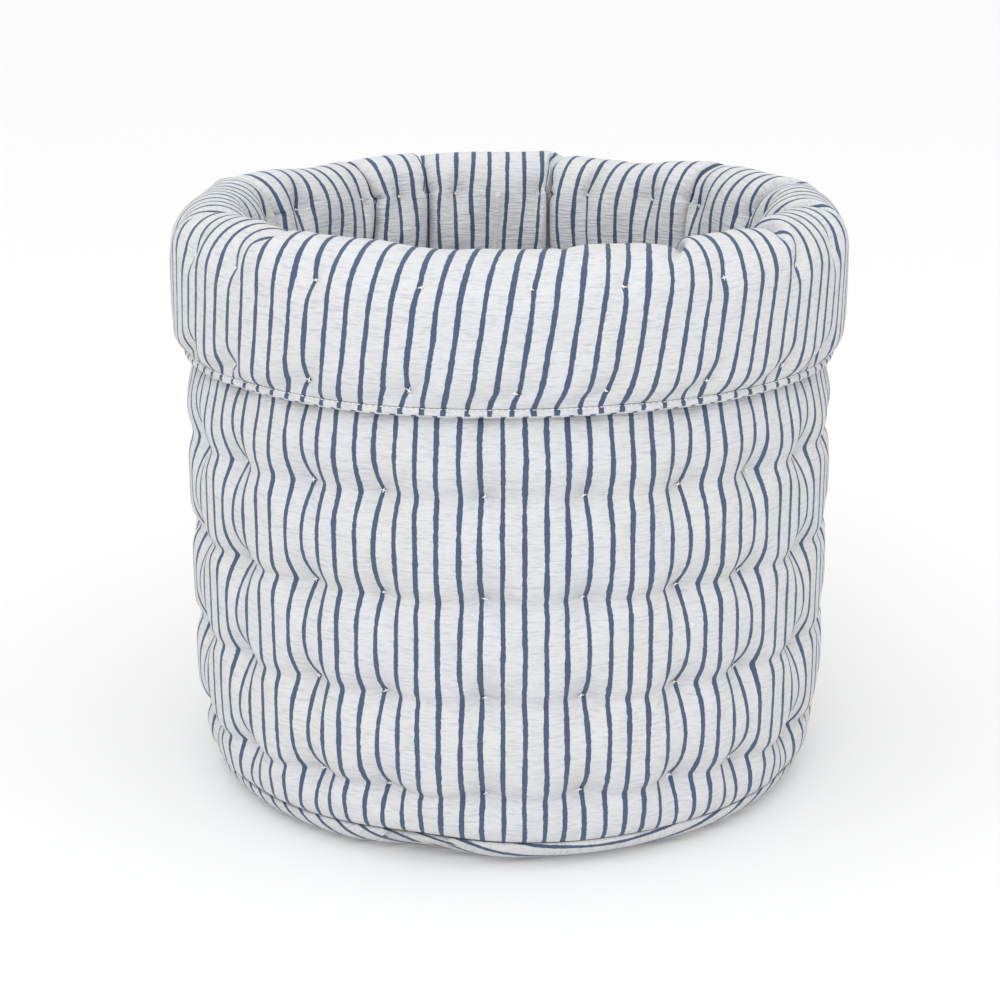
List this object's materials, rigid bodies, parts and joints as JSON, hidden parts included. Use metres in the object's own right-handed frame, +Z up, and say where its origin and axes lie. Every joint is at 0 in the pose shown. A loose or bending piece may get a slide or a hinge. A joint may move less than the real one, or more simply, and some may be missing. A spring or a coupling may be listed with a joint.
{
  "type": "quilted fabric storage basket",
  "caption": "Round soft storage basket of striped tufted muslin over wadding, its top turned down outwards as a thick padded cuff that rolls up.",
  "frame": {"origin": "middle of the underside of the base, on the floor", "axes": "+Z up along the basket's axis, front towards -Y, side seam at the back, near +Y"},
  "size_m": [0.4, 0.4, 0.3455],
  "materials": {
    "striped_muslin": "matt crinkled cotton muslin, off-white with narrow hand-drawn denim-blue stripes",
    "striped_lining": "the same crinkled striped muslin, used inside and where the cloth is turned under",
    "wadding": "lofty white polyester wadding",
    "cotton_thread": "white cotton thread",
    "piping": "striped muslin cut on the cross over a soft cord"
  },
  "bodies": {
    "basket": {"base_cover": "striped_muslin", "base_wadding": "wadding", "base_lining": "striped_lining", "base_tufts": "cotton_thread", "base_seam_thread": "cotton_thread", "lining_seam_thread": "cotton_thread", "wall_cover": "striped_muslin", "wall_wadding": "wadding", "neck_wadding": "wadding", "wall_lining": "striped_lining", "wall_tufts": "cotton_thread", "wall_side_seam": "striped_muslin", "lining_side_seam": "striped_lining"},
    "cuff_fold": {"rim_cover": "striped_muslin", "rim_wadding": "wadding", "rim_backing": "striped_lining", "rim_tufts": "cotton_thread", "cuff_cover": "striped_muslin", "cuff_wadding": "wadding", "cuff_backing": "striped_lining"},
    "cuff_hem": {"hem_cover": "striped_muslin", "hem_wadding": "wadding", "hem_backing": "striped_lining", "hem_tufts": "cotton_thread", "hem_piping": "piping", "hem_piping_cord": "wadding", "hem_seam_thread": "cotton_thread"}
  },
  "joints": [
    {"name": "cuff_roll", "type": "slide", "parent": "basket", "child": "cuff_fold", "axis": [0, 0, 1], "range_m": [0, 0.025]},
    {"name": "hem_rise", "type": "slide", "parent": "cuff_fold", "child": "cuff_hem", "axis": [0, 0, 1], "range_m": [0, 0.025], "deforming": ["cuff_cover", "cuff_wadding", "cuff_backing"]}
  ],
  "couplings": [
    {"joint": "hem_rise", "follows": "cuff_roll", "ratio": 1}
  ]
}
